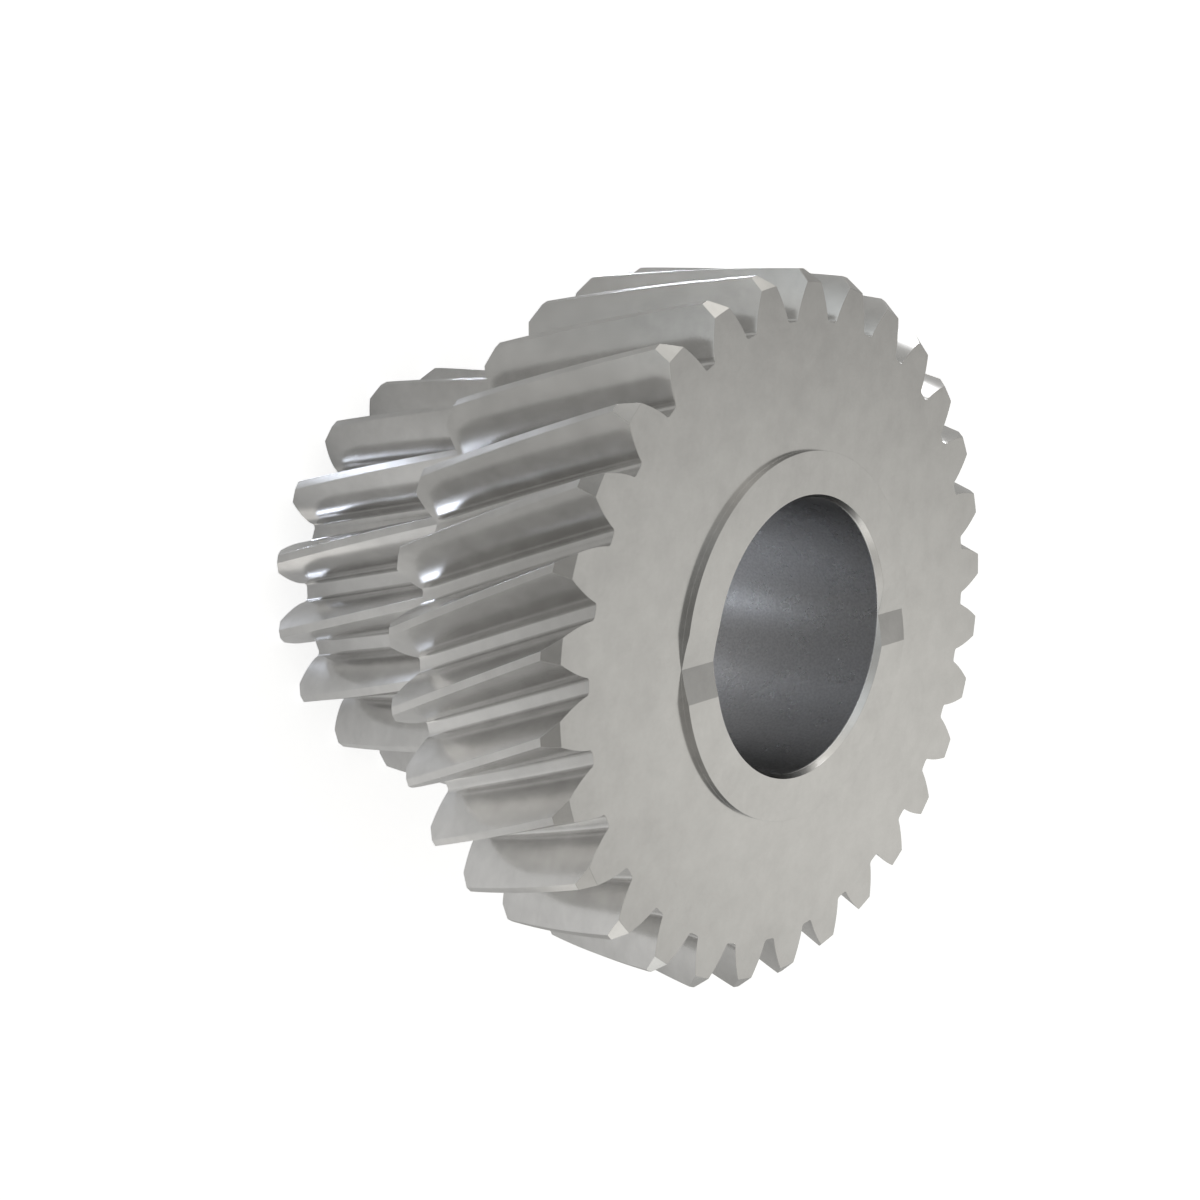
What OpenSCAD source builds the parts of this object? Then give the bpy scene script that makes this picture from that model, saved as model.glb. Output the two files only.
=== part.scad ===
// Stepped planet gear: two helical rims cut on one steel body, with a plain bore for a
// needle roller set, a relief neck between the rims and a raised thrust ring on the large face.
// Both rims have one hand and one lead, so that their axial loads balance.
// The part stands on the small rim's end face, with its axis along Z.

/* [Teeth of both rims] */
// Normal pressure angle in degrees
pressure_angle = 25; // [20:0.5:27]
// Axial travel of one full turn of the tooth helix
lead = 500; // [400:1:900]
// Corner chamfer across both ends of each tooth tip, 45 degrees
tip_chamfer = 1.2; // [0.6:0.1:1.5]

/* [Large rim] */
// Number of teeth
large_teeth = 30; // [28:1:40]
// Normal module
large_module = 2; // [1.9:0.05:2.4]
// Width of the rim along the axis
large_face_w = 21; // [12:0.5:35]
// Tooth height outside the pitch circle
large_addendum = 2.3; // [1.7:0.05:2.4]
// Tooth depth inside the pitch circle
large_dedendum = 2.45; // [1.9:0.05:2.8]
// Thickness taken off each tooth for running clearance
large_backlash = 0.1; // [0:0.01:0.15]
// Fillet radius at the tooth roots
large_fillet = 0.4; // [0.2:0.05:0.6]
// Angle of one tooth's middle at the rim's lower face
large_turn = 7.6; // [0:0.1:12]

/* [Small rim] */
// Number of teeth
small_teeth = 18; // [18:1:24]
// Normal module
small_module = 2.25; // [2.15:0.05:2.5]
// Width of the rim along the axis
small_face_w = 27; // [14:0.5:45]
// Tooth height outside the pitch circle
small_addendum = 2.45; // [1.8:0.05:2.6]
// Tooth depth inside the pitch circle
small_dedendum = 2.65; // [2.1:0.05:2.9]
// Thickness taken off each tooth for running clearance
small_backlash = 0.02; // [0:0.01:0.15]
// Fillet radius at the tooth roots
small_fillet = 0.5; // [0.2:0.05:0.7]
// Angle of one tooth's middle at the rim's lower face
small_turn = 10; // [0:0.1:20]

/* [Neck] */
// Length of the relief neck between the rims
neck_w = 4.4; // [3:0.1:8]
// Diameter of the relief neck
neck_d = 34; // [31:0.5:35]

/* [Bore] */
// Diameter of the bore
bore_d = 26.8; // [20:0.1:28]
// How far the bore's end chamfers go outwards
bore_chamfer_out = 0.35; // [0.2:0.05:0.6]
// How far the bore's end chamfers go into the bore
bore_chamfer_in = 0.7; // [0.3:0.05:1]

/* [Thrust ring] */
// Outer diameter of the raised ring
ring_d = 35.8; // [33:0.1:44]
// Height of the ring above the large face
ring_h = 0.65; // [0.4:0.05:1.5]
// Width of the V groove across the ring, at its top
groove_w = 6.4; // [3:0.1:9]
// Depth of the V groove
groove_depth = 0.6; // [0.3:0.05:1.4]

/* [Hidden] */

// How far cuts run past the faces they open, and how far joined solids run into each other
overrun = 0.5;
// Flank points between the root fillet and the start of the tip chamfer
flank_steps = 4;
// Bands of the helix between the two chamfered ends
helix_bands = 3;
$fn = 128;

neck_z = small_face_w;
large_z = neck_z + neck_w;
face_z = large_z + large_face_w;
top_z = face_z + ring_h;

// Transverse shape of a helical rim, from its own sizes
function slope_at(r) = 2 * PI * r / lead;
function pitch_r(teeth, module_n, tries = 4, guess = 0) =
    let (cos_helix = 1 / sqrt(1 + pow(slope_at(guess), 2)), r = teeth * module_n / 2 / cos_helix)
    tries == 0 ? r : pitch_r(teeth, module_n, tries - 1, r);
function transverse_angle(r) = atan(tan(pressure_angle) * sqrt(1 + pow(slope_at(r), 2)));
function involute_deg(angle) = tan(angle) * 180 / PI - angle;
function flank_angle(r, base_r) = acos(min(1, base_r / r));

// Half the tooth's width at radius r, as an angle
function half_tooth(r, pitch, teeth, backlash) =
    let (at_pitch = transverse_angle(pitch), base_r = pitch * cos(at_pitch))
    90 / teeth - backlash / 2 / pitch * 180 / PI + involute_deg(at_pitch)
    - involute_deg(flank_angle(r, base_r));

// One flank from the middle of the root fillet to the tip, as [radius, half angle] pairs
function flank(teeth, pitch, addendum, dedendum, fillet, backlash) =
    let (
        root = pitch - dedendum,
        flank_start = root + fillet,
        chamfer_start = pitch + addendum - tip_chamfer,
        start_half = half_tooth(flank_start, pitch, teeth, backlash),
        fillet_deg = fillet / root * 180 / PI,
        diagonal_share = 1 - cos(45)
    )
    concat(
        [
            [root, start_half + fillet_deg],
            [root + fillet * diagonal_share, start_half + fillet_deg * diagonal_share]
        ],
        [
            for (i = [0 : flank_steps])
                let (r = flank_start + (chamfer_start - flank_start) * i / flank_steps)
                [r, half_tooth(r, pitch, teeth, backlash)]
        ],
        [[pitch + addendum, half_tooth(pitch + addendum, pitch, teeth, backlash)]]
    );

// Heights of the rings of points: the two chamfered ends, and the helix between them
function levels(face_w) = concat(
    [0],
    [for (j = [0 : helix_bands]) tip_chamfer + (face_w - 2 * tip_chamfer) * j / helix_bands],
    [face_w]
);

// One toothed rim, standing on z = 0, left hand
module helical_rim(teeth, module_n, face_w, addendum, dedendum, backlash, fillet, turn) {
    pitch = pitch_r(teeth, module_n);
    rise = flank(teeth, pitch, addendum, dedendum, fillet, backlash);
    per_flank = len(rise);
    per_tooth = 2 * per_flank;
    per_ring = teeth * per_tooth;
    heights = levels(face_w);
    last = len(heights) - 1;
    function limit_r(z) = pitch + addendum - max(0, tip_chamfer - min(z, face_w - z));
    outline = [
        for (z = heights, tooth = [0 : teeth - 1], k = [0 : per_tooth - 1])
            let (
                rising = k < per_flank,
                p = rising ? rise[k] : rise[per_tooth - 1 - k],
                r = min(p[0], limit_r(z)),
                angle = turn + 360 * tooth / teeth - 360 * z / lead + (rising ? -p[1] : p[1])
            )
            [r * cos(angle), r * sin(angle), z]
    ];
    // Each diagonal follows the edge between flank and chamfer, which mirrors on the other flank
    sides = [
        for (j = [0 : last - 1], i = [0 : per_ring - 1])
            let (
                a = j * per_ring + i,
                b = j * per_ring + (i + 1) % per_ring,
                c = a + per_ring,
                d = b + per_ring,
                forward = (i % per_tooth < per_flank) != (j == last - 1)
            )
            each (forward ? [[a, c, d], [a, d, b]] : [[a, c, b], [c, d, b]])
    ];
    lower_middle = per_ring * (last + 1);
    upper_middle = lower_middle + 1;
    lower = [for (i = [0 : per_ring - 1]) [lower_middle, i, (i + 1) % per_ring]];
    upper = [
        for (i = [0 : per_ring - 1])
            [upper_middle, last * per_ring + (i + 1) % per_ring, last * per_ring + i]
    ];
    polyhedron(
        points = concat(outline, [[0, 0, 0], [0, 0, face_w]]),
        faces = concat(lower, upper, sides)
    );
}

// Raised ring that runs against the thrust washer, split by a V groove along X
module thrust_ring() {
    difference() {
        translate([0, 0, face_z - overrun])
            cylinder(d = ring_d, h = ring_h + overrun);
        rotate([90, 0, 90])
            translate([0, 0, -ring_d / 2 - overrun])
            linear_extrude(ring_d + 2 * overrun)
            polygon([
                [0, top_z - groove_depth],
                [groove_w / 2, top_z],
                [groove_w / 2, top_z + overrun],
                [-groove_w / 2, top_z + overrun],
                [-groove_w / 2, top_z]
            ]);
    }
}

// Bore with a steep lead-in chamfer at each end
module bore() {
    translate([0, 0, -overrun])
        cylinder(d = bore_d, h = top_z + 2 * overrun);
    chamfer_run = bore_chamfer_out * (bore_chamfer_in + overrun) / bore_chamfer_in;
    translate([0, 0, -overrun])
        cylinder(r1 = bore_d / 2 + chamfer_run, r2 = bore_d / 2, h = bore_chamfer_in + overrun);
    translate([0, 0, top_z - bore_chamfer_in])
        cylinder(r1 = bore_d / 2, r2 = bore_d / 2 + chamfer_run, h = bore_chamfer_in + overrun);
}

module planet_gear() {
    color([0.62, 0.61, 0.59])
        difference() {
            union() {
                helical_rim(
                    small_teeth, small_module, small_face_w, small_addendum, small_dedendum,
                    small_backlash, small_fillet, small_turn
                );
                translate([0, 0, neck_z - overrun])
                    cylinder(d = neck_d, h = neck_w + 2 * overrun);
                translate([0, 0, large_z])
                    helical_rim(
                        large_teeth, large_module, large_face_w, large_addendum, large_dedendum,
                        large_backlash, large_fillet, large_turn
                    );
                thrust_ring();
            }
            bore();
        }
}

planet_gear();
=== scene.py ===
import math

import bpy
from mathutils import Matrix, Vector


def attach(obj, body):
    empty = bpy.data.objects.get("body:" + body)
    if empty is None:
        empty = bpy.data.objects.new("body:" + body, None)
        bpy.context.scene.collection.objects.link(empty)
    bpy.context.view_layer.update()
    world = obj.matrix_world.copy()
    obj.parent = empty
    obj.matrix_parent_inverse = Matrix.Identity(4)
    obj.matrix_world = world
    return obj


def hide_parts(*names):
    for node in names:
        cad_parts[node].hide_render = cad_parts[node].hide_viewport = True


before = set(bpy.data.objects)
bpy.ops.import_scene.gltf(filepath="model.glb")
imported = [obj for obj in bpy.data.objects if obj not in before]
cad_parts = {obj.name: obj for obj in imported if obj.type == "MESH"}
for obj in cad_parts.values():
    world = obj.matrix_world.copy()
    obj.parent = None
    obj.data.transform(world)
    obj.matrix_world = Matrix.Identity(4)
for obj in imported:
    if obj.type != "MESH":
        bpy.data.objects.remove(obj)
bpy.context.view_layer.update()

# The gear is one steel forging. It is turned, hobbed with two helical rims that share one lead,
# case-hardened, and ground in the bore and on the faces. All sizes are in metres, and the tips are
# drawn a hair low, so that the finer teeth stay in the solid's box.
lead = 0.5
pressure_angle = math.radians(25)
tip_chamfer = 0.0012
tip_drop = 0.000015
pitch_rounds = 4
chamfer_bands = 3
root_steps = 2
fillet_steps = 4
flank_steps = 9
land_steps = 1


class Rim:
    """One helical rim: its sizes, and the form of its teeth."""

    def __init__(
        self, teeth, module, bottom, width, addendum, dedendum, backlash, fillet, turn, bands
    ):
        self.teeth = teeth
        self.bottom = bottom
        self.width = width
        self.fillet = fillet
        self.turn = math.radians(turn)
        self.backlash = backlash
        self.bands = bands
        flat_pitch = teeth * module / 2
        self.pitch = flat_pitch
        for _ in range(pitch_rounds):
            self.pitch = flat_pitch * math.hypot(1, math.tau * self.pitch / lead)
        helix_tan = math.tau * self.pitch / lead
        self.pitch_pressure = math.atan(math.tan(pressure_angle) * math.hypot(1, helix_tan))
        self.base = self.pitch * math.cos(self.pitch_pressure)
        self.root = self.pitch - dedendum
        self.tip = self.pitch + addendum - tip_drop

    def half_tooth(self, radius):
        """Half the tooth's width at a radius, as an angle."""
        at_radius = math.acos(min(1, self.base / radius))
        at_pitch = self.pitch_pressure
        rolled = math.tan(at_pitch) - at_pitch - math.tan(at_radius) + at_radius
        return math.pi / 2 / self.teeth - self.backlash / 2 / self.pitch + rolled

    def levels(self):
        """Heights above the rim's lower face: the chamfered ends, and the helix between them."""
        end = [tip_chamfer * i / chamfer_bands for i in range(chamfer_bands)]
        middle = self.width - 2 * tip_chamfer
        helix = [tip_chamfer + middle * i / self.bands for i in range(self.bands + 1)]
        return end + helix + [self.width - height for height in reversed(end)]

    def half_profile(self, height):
        """Radius and half angle of points from the middle of a tooth space to the tooth's land."""
        top = self.tip - max(0, tip_chamfer - min(height, self.width - height))
        flank_start = self.root + self.fillet
        start_half = self.half_tooth(flank_start)
        fillet_angle = self.fillet / self.root
        space_half = math.pi / self.teeth
        root_half = start_half + fillet_angle
        points = []
        for i in range(root_steps):
            points.append((self.root, space_half + (root_half - space_half) * i / root_steps))
        for i in range(fillet_steps):
            turned = math.pi / 2 * i / fillet_steps
            radius = self.root + self.fillet * (1 - math.cos(turned))
            points.append((radius, start_half + fillet_angle * (1 - math.sin(turned))))
        for i in range(flank_steps + 1):
            radius = flank_start + (top - flank_start) * i / flank_steps
            points.append((radius, self.half_tooth(radius)))
        for i in range(1, land_steps + 1):
            points.append((top, self.half_tooth(top) * (1 - i / (land_steps + 0.5))))
        return points


large_rim = Rim(
    teeth=30, module=0.002, bottom=0.0314, width=0.021, addendum=0.0023, dedendum=0.00245,
    backlash=0.0001, fillet=0.0004, turn=7.6, bands=12,
)
small_rim = Rim(
    teeth=18, module=0.00225, bottom=0, width=0.027, addendum=0.00245, dedendum=0.00265,
    backlash=0.00002, fillet=0.0005, turn=10, bands=14,
)
merge_gap = 0.000002
same_place = 0.00001


def toothed_tube(name, rim):
    """The toothed outside of a rim: one tooth is shaped from a grid, then copied round the axis."""
    heights = rim.levels()
    profiles = [rim.half_profile(height) for height in heights]
    across = 2 * len(profiles[0])
    bpy.ops.mesh.primitive_grid_add(x_subdivisions=across - 1, y_subdivisions=len(heights) - 1)
    tube = bpy.context.object
    tube.name = name
    for j, height in enumerate(heights):
        rising = [(radius, -half) for radius, half in profiles[j]]
        falling = [(radius, -half) for radius, half in reversed(rising)]
        for i, (radius, angle) in enumerate(rising + falling):
            angle += rim.turn - math.tau * height / lead
            place = (radius * math.cos(angle), radius * math.sin(angle), rim.bottom + height)
            tube.data.vertices[j * across + i].co = place
    bpy.ops.object.mode_set(mode="EDIT")
    bpy.ops.mesh.select_all(action="SELECT")
    others = rim.teeth - 1
    bpy.ops.mesh.spin(
        steps=others, dupli=True, angle=math.tau * others / rim.teeth, center=(0, 0, 0), axis=(0, 0, 1)
    )
    bpy.ops.mesh.select_all(action="SELECT")
    bpy.ops.mesh.remove_doubles(threshold=merge_gap)
    bpy.ops.object.mode_set(mode="OBJECT")
    return tube


def select_edges(wanted):
    """Selects only the edges whose two ends pass a test."""
    bpy.ops.mesh.select_all(action="DESELECT")
    bpy.ops.object.mode_set(mode="OBJECT")
    mesh = bpy.context.object.data
    for edge in mesh.edges:
        edge.select = all(wanted(mesh.vertices[i].co) for i in edge.vertices)
    bpy.ops.object.mode_set(mode="EDIT")


def near(first, second):
    """Whether two places or radii are the same, but for rounding."""
    return abs(first - second) < same_place


bpy.ops.object.select_all(action="DESELECT")
small_teeth = toothed_tube("small_teeth", small_rim)
large_teeth = toothed_tube("large_teeth", large_rim)

# The neck between the rims is the same steel, turned down below the small rim's roots. It gives the
# hob and the grinding wheel room to run out.
neck_r = 0.017
neck_w = large_rim.bottom - small_rim.width
round_steps = 180

bpy.ops.mesh.primitive_cylinder_add(
    vertices=round_steps, radius=neck_r, depth=neck_w, end_fill_type="NOTHING",
    location=(0, 0, small_rim.width + neck_w / 2),
)
neck = bpy.context.object

# The bore is ground for needle rollers. Its mouth opens in a steep chamfer, and on the large face
# it is ringed by a raised thrust face with an oil groove across it.
bore_r = 0.0134
chamfer_out = 0.00035
chamfer_in = 0.0007
ring_r = 0.0179
ring_h = 0.00065
groove_half = 0.0032
groove_depth = 0.0006
face_z = large_rim.bottom + large_rim.width
top_z = face_z + ring_h

bpy.ops.mesh.primitive_cylinder_add(
    vertices=round_steps, radius=bore_r, depth=top_z - 2 * chamfer_in, end_fill_type="NOTHING",
    location=(0, 0, top_z / 2),
)
bore = bpy.context.object
bpy.ops.object.transform_apply(location=True)


def extrude_loop(at_z, from_r, to_r, rise):
    """Extrudes the round edge at a height, to another radius and height."""
    select_edges(lambda co: near(co.z, at_z) and near(math.hypot(co.x, co.y), from_r))
    bpy.ops.mesh.extrude_edges_move(TRANSFORM_OT_translate={"value": (0, 0, rise)})
    grown = to_r / from_r
    bpy.ops.transform.resize(value=(grown, grown, 1), center_override=(0, 0, 0))


mouth_r = bore_r + chamfer_out
bpy.ops.object.mode_set(mode="EDIT")
extrude_loop(chamfer_in, bore_r, mouth_r, -chamfer_in)
extrude_loop(top_z - chamfer_in, bore_r, mouth_r, chamfer_in)
extrude_loop(top_z, mouth_r, ring_r, 0)
extrude_loop(top_z, ring_r, ring_r, -ring_h)

for cut_y in (-groove_half, 0, groove_half):
    select_edges(lambda co: co.z > top_z - chamfer_in - same_place)
    bpy.ops.mesh.select_mode(type="FACE")
    bpy.ops.mesh.bisect(plane_co=(0, cut_y, 0), plane_no=(0, 1, 0), threshold=merge_gap / 2)
    bpy.ops.mesh.select_mode(type="EDGE")
bpy.ops.object.mode_set(mode="OBJECT")
for corner in bore.data.vertices:
    if near(corner.co.z, top_z) and abs(corner.co.y) < groove_half:
        drop = groove_depth * (1 - abs(corner.co.y) / groove_half)
        radius = math.hypot(corner.co.x, corner.co.y)
        if near(radius, mouth_r):
            shrunk = (mouth_r - drop * chamfer_out / chamfer_in) / radius
            corner.co.x *= shrunk
            corner.co.y *= shrunk
        corner.co.z -= drop

# The end faces are turned, and ground where they run against washers. They join the rims, the neck,
# the ring and the bore into one closed body.
bpy.ops.object.select_all(action="DESELECT")
for part in (small_teeth, large_teeth, neck, bore):
    part.select_set(True)
bpy.context.view_layer.objects.active = bore
bpy.ops.object.join()
gear = bpy.context.object
gear.name = "gear_body"
bpy.ops.object.transform_apply(location=True)


def fill_face(at_z, inner_r):
    """Fills the flat face between a round edge and the toothed outline at one height."""
    select_edges(lambda co: near(co.z, at_z) and math.hypot(co.x, co.y) > inner_r - same_place)
    bpy.ops.mesh.fill(use_beauty=True)


bpy.ops.object.mode_set(mode="EDIT")
fill_face(0, mouth_r)
fill_face(small_rim.width, neck_r)
fill_face(large_rim.bottom, neck_r)
fill_face(face_z, ring_r)
bpy.ops.mesh.select_all(action="SELECT")
bpy.ops.mesh.remove_doubles(threshold=merge_gap)
bpy.ops.mesh.normals_make_consistent(inside=False)
bpy.ops.object.mode_set(mode="OBJECT")

# The sharp edges are broken by brushing, and the groove's low ones stay crisp. Round surfaces are
# shaded smooth.
crisp_angle = math.radians(25)
edge_break = 0.00005
bpy.ops.object.shade_smooth_by_angle(angle=crisp_angle)
bpy.ops.object.mode_set(mode="EDIT")
for line_y in (-groove_half, 0, groove_half):
    select_edges(lambda co: near(co.y, line_y) and co.z > face_z + 2 * same_place)
    bpy.ops.mesh.mark_sharp()
bpy.ops.object.mode_set(mode="OBJECT")
bevel = gear.modifiers.new("edge_break", "BEVEL")
bevel.width = edge_break
bevel.segments = 2
bevel.limit_method = "ANGLE"
bevel.angle_limit = crisp_angle
bevel.harden_normals = True
bpy.ops.object.modifier_apply(modifier=bevel.name)

# The steel is ground to a satin grey and is cloudy from hardening. The bore is honed, which leaves it
# duller, with a fine grain.


class Shade:
    """A socket of a shader tree. The operators on it add Math nodes."""

    def __init__(self, tree, socket=None):
        self.tree = tree
        self.socket = socket

    def node(self, kind, output=0, settings=None, **inputs):
        """Adds a node. Inputs are named i0, i1 for the sockets' numbers, or as the sockets are named."""
        made = self.tree.nodes.new(kind)
        for name, value in (settings or {}).items():
            if name == "stops":
                for stop, (position, stop_colour) in zip(made.color_ramp.elements, value):
                    stop.position = position
                    stop.color = (*stop_colour, 1)
            else:
                setattr(made, name, value)
        for name, value in inputs.items():
            key = int(name[1:]) if name[0] == "i" and name[1:].isdigit() else name.replace("_", " ")
            if isinstance(value, Shade):
                self.tree.links.new(value.socket, made.inputs[key])
            else:
                made.inputs[key].default_value = value
        return Shade(self.tree, made.outputs[output] if made.outputs else None)

    def math(self, operation, first, second=0.0):
        return self.node("ShaderNodeMath", settings={"operation": operation}, i0=first, i1=second)

    def __add__(self, other):
        return self.math("ADD", self, other)

    def __radd__(self, other):
        return self.math("ADD", other, self)

    def __sub__(self, other):
        return self.math("SUBTRACT", self, other)

    def __rsub__(self, other):
        return self.math("SUBTRACT", other, self)

    def __mul__(self, other):
        return self.math("MULTIPLY", self, other)

    def __rmul__(self, other):
        return self.math("MULTIPLY", other, self)


def new_material(name):
    """A material with an empty tree, and a Shade to build on."""
    material = bpy.data.materials.new(name)
    material.use_nodes = True
    material.node_tree.nodes.clear()
    return material, Shade(material.node_tree)


clouds_per_metre = 260.0
cloud_tones = [(0.3, (0.605, 0.6, 0.592)), (0.7, (0.705, 0.7, 0.691))]
grains_per_metre = 4000.0
grain_tones = [(0.35, (0.65, 0.65, 0.655)), (0.65, (0.77, 0.77, 0.775))]
ground_roughness = 0.15
cloud_roughness = 0.1
honed_roughness = 0.08

steel, shade = new_material("ground_steel")
place = shade.node("ShaderNodeTexCoord", output="Object")
clouds = shade.node("ShaderNodeTexNoise", i0=place, Scale=clouds_per_metre, Detail=4.0, Roughness=0.68)
tone = shade.node("ShaderNodeValToRGB", settings={"stops": cloud_tones}, Fac=clouds)
grain = shade.node("ShaderNodeTexNoise", i0=place, Scale=grains_per_metre, Detail=2.0)
honed = shade.node("ShaderNodeValToRGB", settings={"stops": grain_tones}, Fac=grain)
flat_place = shade.node(
    "ShaderNodeVectorMath", settings={"operation": "MULTIPLY"}, i0=place, i1=(1.0, 1.0, 0.0)
)
from_axis = shade.node(
    "ShaderNodeVectorMath", output="Value", settings={"operation": "LENGTH"}, i0=flat_place
)
in_bore = shade.math("LESS_THAN", from_axis, bore_r + edge_break)
colour = shade.node(
    "ShaderNodeMix", output=2, settings={"data_type": "RGBA"}, i0=in_bore, i6=tone, i7=honed
)
roughness = ground_roughness + clouds * cloud_roughness + in_bore * honed_roughness
metal = shade.node(
    "ShaderNodeBsdfPrincipled", Base_Color=colour, Metallic=1.0, Roughness=roughness
)
shade.node("ShaderNodeOutputMaterial", i0=metal)
gear.data.materials.clear()
gear.data.materials.append(steel)
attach(gear, "root")
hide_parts("planet_gear")

# The floor is a wide white sheet, lit through from below like a light table, and lets the lamps below
# it shine through. The steel sees it glow less than the camera does, but more under the bore and in
# front of the small rim. It keeps the gear's soft shadow.
floor_reach = 3
paper_white = 0.8
glow_seen = 0.74
glow_on_steel = 0.09
glow_under_bore = 0.15
glow_in_front = 0.39
front_patch = (-0.045, -0.03, 0)
front_patch_r = 0.06

bpy.ops.mesh.primitive_plane_add(size=2 * floor_reach)
floor = bpy.context.object
floor.name = "floor"
floor.visible_shadow = False
white_floor, shade = new_material("white_floor")
paper = shade.node("ShaderNodeBsdfDiffuse", i0=(paper_white, paper_white, paper_white, 1))
to_camera = shade.node("ShaderNodeLightPath", output="Is Camera Ray")
to_gloss = shade.node("ShaderNodeLightPath", output="Is Glossy Ray")
to_glass = shade.node("ShaderNodeLightPath", output="Is Transmission Ray")
seen_glow = shade.node("ShaderNodeEmission", i0=(1, 1, 1, 1), i1=glow_seen)
place = shade.node("ShaderNodeTexCoord", output="Object")
from_axis = shade.node(
    "ShaderNodeVectorMath", output="Value", settings={"operation": "LENGTH"}, i0=place
)
under_bore = shade.math("LESS_THAN", from_axis, bore_r)
from_patch = shade.node(
    "ShaderNodeVectorMath", output="Value", settings={"operation": "DISTANCE"},
    i0=place, i1=front_patch,
)
in_front = shade.math("MAXIMUM", 1 - from_patch * (1 / front_patch_r)) * glow_in_front
steel_glow = shade.node(
    "ShaderNodeEmission", i0=(1, 1, 1, 1),
    i1=under_bore * glow_under_bore + in_front + glow_on_steel,
)
seen = shade.node("ShaderNodeAddShader", i0=paper, i1=seen_glow)
mirrored = shade.node("ShaderNodeAddShader", i0=paper, i1=steel_glow)
indirect = shade.node("ShaderNodeMixShader", i0=to_gloss + to_glass, i1=paper, i2=mirrored)
sheet = shade.node("ShaderNodeMixShader", i0=to_camera, i1=indirect, i2=seen)
shade.node("ShaderNodeOutputMaterial", i0=sheet)
white_floor.cycles.emission_sampling = "NONE"
floor.data.materials.append(white_floor)

# The room gives soft light from pale walls and wide soft boxes, and shows a white backdrop to the
# camera. Each box has its azimuth and height in degrees, how narrow it is, and its strength.
warm_boxes = [
    (338, 31, 20, 0.74),
    (0, 90, 8, 0.5),
    (8, 38, 10, 0.15),
    (180, 57, 10, 0.20),
    (210, 5, 10, 0.81),
    (240, 30, 10, 0.29),
    (270, 5, 10, 1.04),
    (150, 5, 10, 0.42),
    (90, 30, 10, 0.43),
    (60, 12, 10, 1.00),
    (135, 57, 10, 0.13),
    (90, 5, 10, 0.14),
]
cool_boxes = [
    (0, 57, 10, 0.10),
    (120, 5, 10, 0.78),
    (180, 5, 10, 0.41),
    (300, 5, 10, 0.45),
]
warm_white = (1, 0.98, 0.93, 1)
cool_white = (0.93, 0.98, 1, 1)
room = bpy.data.worlds.new("room")
bpy.context.scene.world = room
room.use_nodes = True
room.cycles.sampling_method = "NONE"
room.node_tree.nodes.clear()
shade = Shade(room.node_tree)
view = shade.node("ShaderNodeTexCoord", output="Generated")
rise = shade.node("ShaderNodeSeparateXYZ", output="Z", i0=view)
above_floor = shade.math("GREATER_THAN", rise)


def soft_boxes(boxes, colour):
    """The summed light of the soft boxes of one colour."""
    total = 0.0
    for azimuth, height, narrowness, strength in boxes:
        turned = math.radians(azimuth)
        raised = math.radians(height)
        level = math.cos(raised)
        towards = (level * math.cos(turned), level * math.sin(turned), math.sin(raised))
        facing = shade.node(
            "ShaderNodeVectorMath", output="Value", settings={"operation": "DOT_PRODUCT"},
            i0=view, i1=towards,
        )
        lobe = shade.math("POWER", shade.math("MAXIMUM", facing), narrowness)
        total = total + lobe * strength
    return shade.node("ShaderNodeBackground", i0=colour, i1=total * above_floor)


warm = soft_boxes(warm_boxes, warm_white)
cool = soft_boxes(cool_boxes, cool_white)
both = shade.node("ShaderNodeAddShader", i0=warm, i1=cool)
backdrop = shade.node("ShaderNodeBackground", i0=(1, 1, 1, 1), i1=1.0)
to_camera = shade.node("ShaderNodeLightPath", output="Is Camera Ray")
surroundings = shade.node("ShaderNodeMixShader", i0=to_camera, i1=both, i2=backdrop)
shade.node("ShaderNodeOutputWorld", i0=surroundings)

# Far lamps stand below the floor's level and light the teeth from behind. Each has the direction it
# stands in, the angle that its disc fills in degrees, the disc's brightness and its colour.
far_lamps = [
    ("rim_light", (-0.12, 0.50, -0.86), 10, 18, (0.78, 0.85, 1)),
    ("low_rim_light", (-0.27, 0.54, -0.80), 12, 1.1, (0.82, 0.88, 1)),
    ("edge_light", (0.48, 0.87, -0.13), 20, 2.6, (0.97, 0.98, 1)),
    ("top_light", (0.68, 0.36, -0.63), 16, 2.6, (0.84, 0.9, 1)),
    ("under_light", (-0.10, -0.83, -0.55), 20, 0.45, (1, 0.97, 0.92)),
]
for name, direction, disc_angle, brightness, colour in far_lamps:
    aim = Vector(direction).to_track_quat("Z", "Y").to_euler()
    bpy.ops.object.light_add(type="SUN", location=direction, rotation=aim)
    lamp = bpy.context.object
    lamp.name = name
    lamp.data.angle = math.radians(disc_angle)
    lamp.data.energy = brightness * math.pi * math.sin(lamp.data.angle / 2) ** 2
    lamp.data.color = colour
    lamp.data.cycles.use_multiple_importance_sampling = False
bpy.context.scene.view_settings.view_transform = "Standard"

# The camera looks down at the gear's large face from one side, with a 50 mm lens. It is rolled, so
# that the gear's axis lies across the picture.
camera_place = Vector((-0.12813, 0.03557, 0.14291))
camera_right = Vector((0.67269, 0, 0.73993))
camera_up = Vector((0.14890, 0.97954, -0.13537))
camera_turn = Matrix((camera_right, camera_up, camera_right.cross(camera_up))).transposed()

bpy.ops.object.camera_add(location=camera_place, rotation=camera_turn.to_euler())
camera = bpy.context.object
camera.data.lens = 49.91
camera.data.sensor_width = 36
camera.data.clip_start = 0.005
bpy.context.scene.camera = camera
